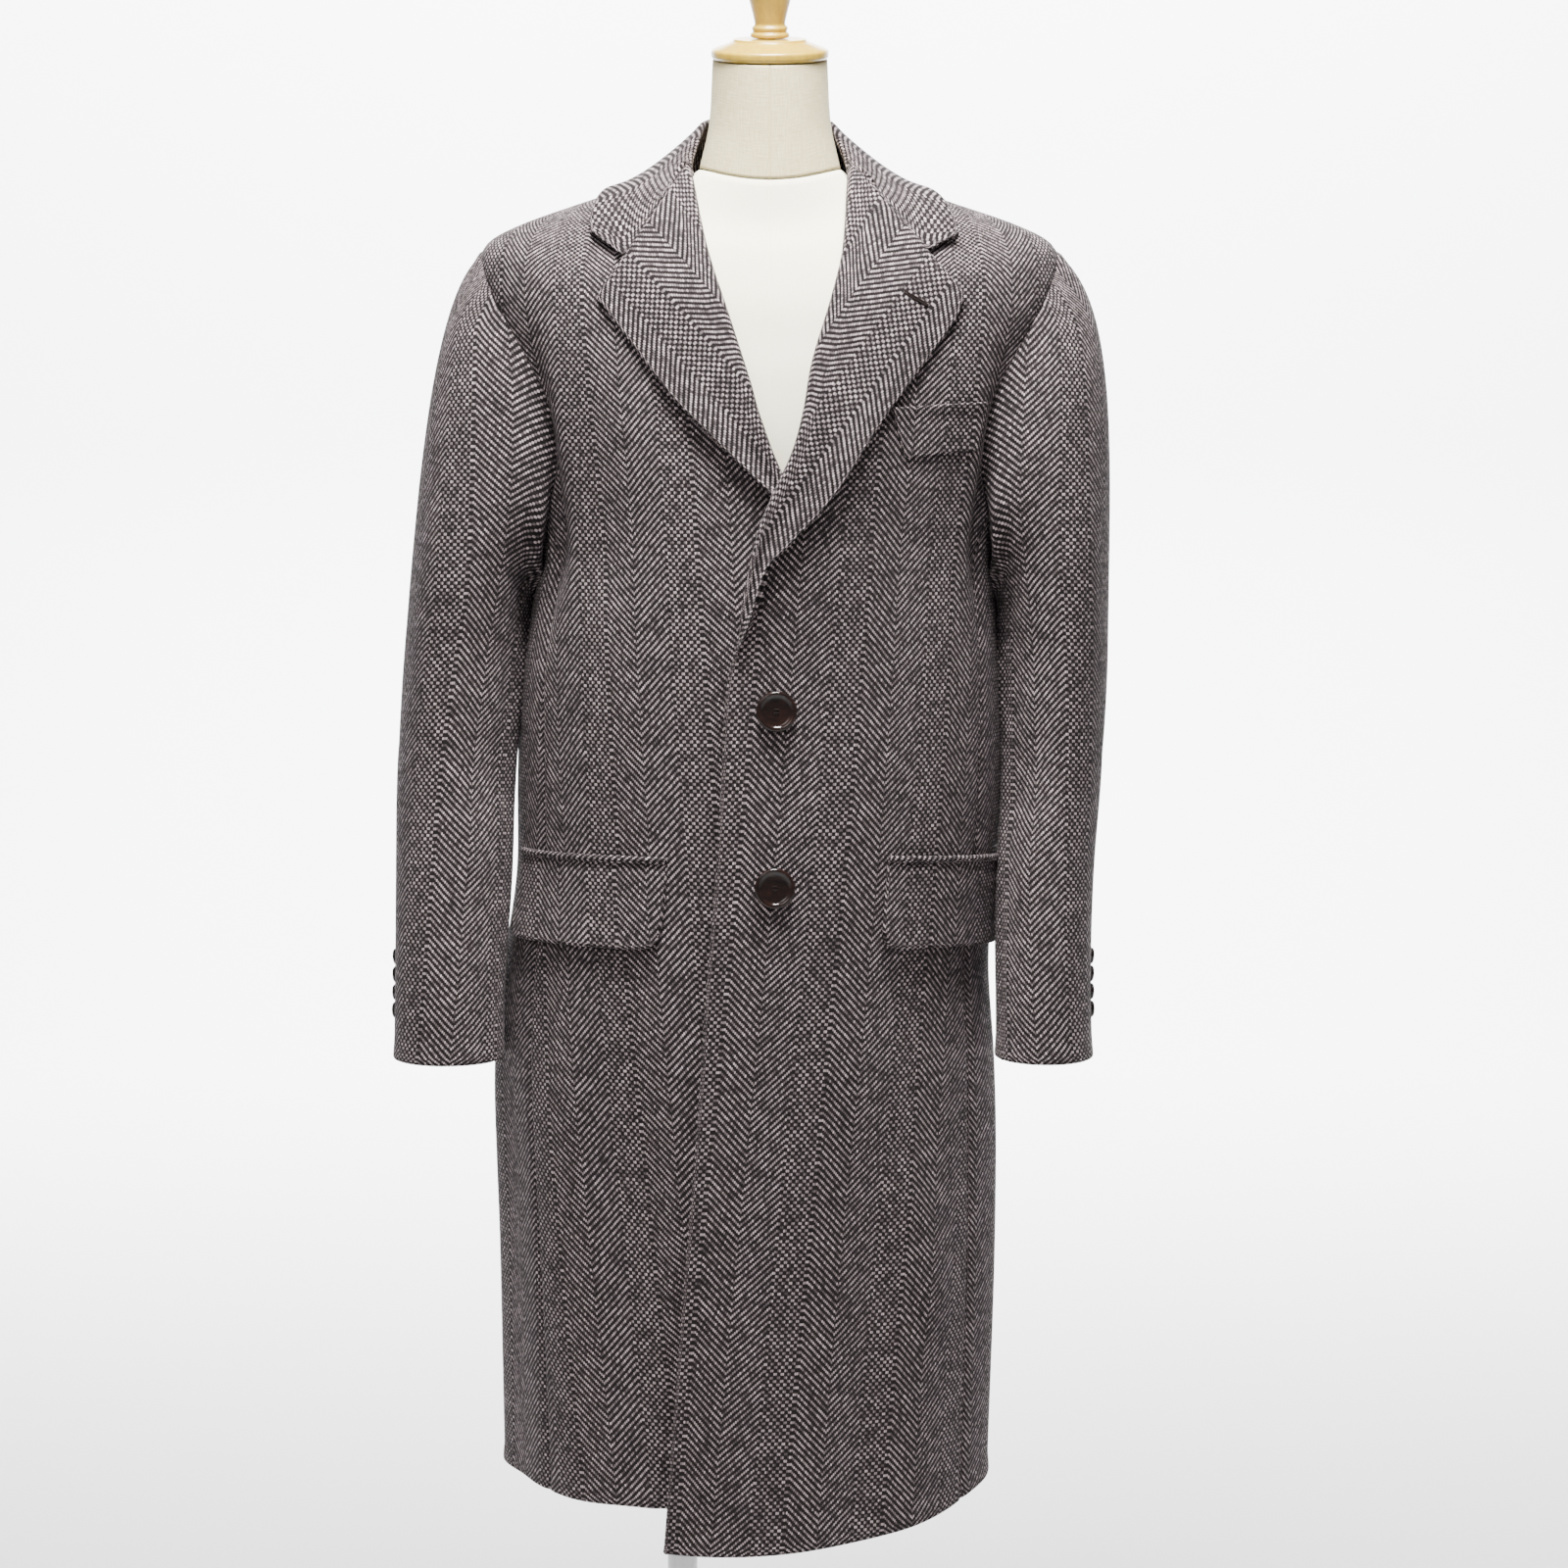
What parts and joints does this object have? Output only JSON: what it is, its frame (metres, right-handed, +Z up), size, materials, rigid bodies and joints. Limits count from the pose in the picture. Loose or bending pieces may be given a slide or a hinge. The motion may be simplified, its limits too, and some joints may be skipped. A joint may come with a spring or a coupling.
{
  "type": "single-breasted coat on a dress form",
  "caption": "Long single-breasted herringbone coat with notched lapels, flap pockets and a breast welt, buttoned over a limbless dress form with a wooden cap, a pole and a round base.",
  "frame": {"origin": "centre of the bounding box on the floor under the base", "axes": "+Z up, the coat's front faces -Y, +X towards the wearer's left sleeve"},
  "size_m": [0.5669, 0.38, 1.5869],
  "materials": {
    "coat_cloth": "heavy brushed wool tweed in a dark brown and off-white herringbone",
    "button": "polished very dark brown",
    "form_canvas": "smooth cream jersey over a hard form",
    "neck_linen": "plain linen",
    "wood": "clear lacquer over pale wood",
    "metal": "satin grey"
  },
  "bodies": {
    "root": {"front_left": "coat_cloth", "side_left": "coat_cloth", "front_right": "coat_cloth", "side_right": "coat_cloth", "back_left": "coat_cloth", "back_right": "coat_cloth", "top_sleeve_left": "coat_cloth", "under_sleeve_left": "coat_cloth", "top_sleeve_right": "coat_cloth", "under_sleeve_right": "coat_cloth", "collar": "coat_cloth", "lapel_left": "coat_cloth", "lapel_right": "coat_cloth", "flap_left": "coat_cloth", "flap_right": "coat_cloth", "jet_left": "coat_cloth", "jet_right": "coat_cloth", "breast_welt": "coat_cloth", "front_button_upper": "button", "front_button_lower": "button", "cuff_button_left_1": "button", "cuff_button_left_2": "button", "cuff_button_left_3": "button", "cuff_button_left_4": "button", "cuff_button_right_1": "button", "cuff_button_right_2": "button", "cuff_button_right_3": "button", "cuff_button_right_4": "button", "form_torso": "form_canvas", "form_neck": "neck_linen", "neck_cap": "wood", "finial": "wood", "pole": "metal", "base": "metal"}
  },
  "joints": []
}
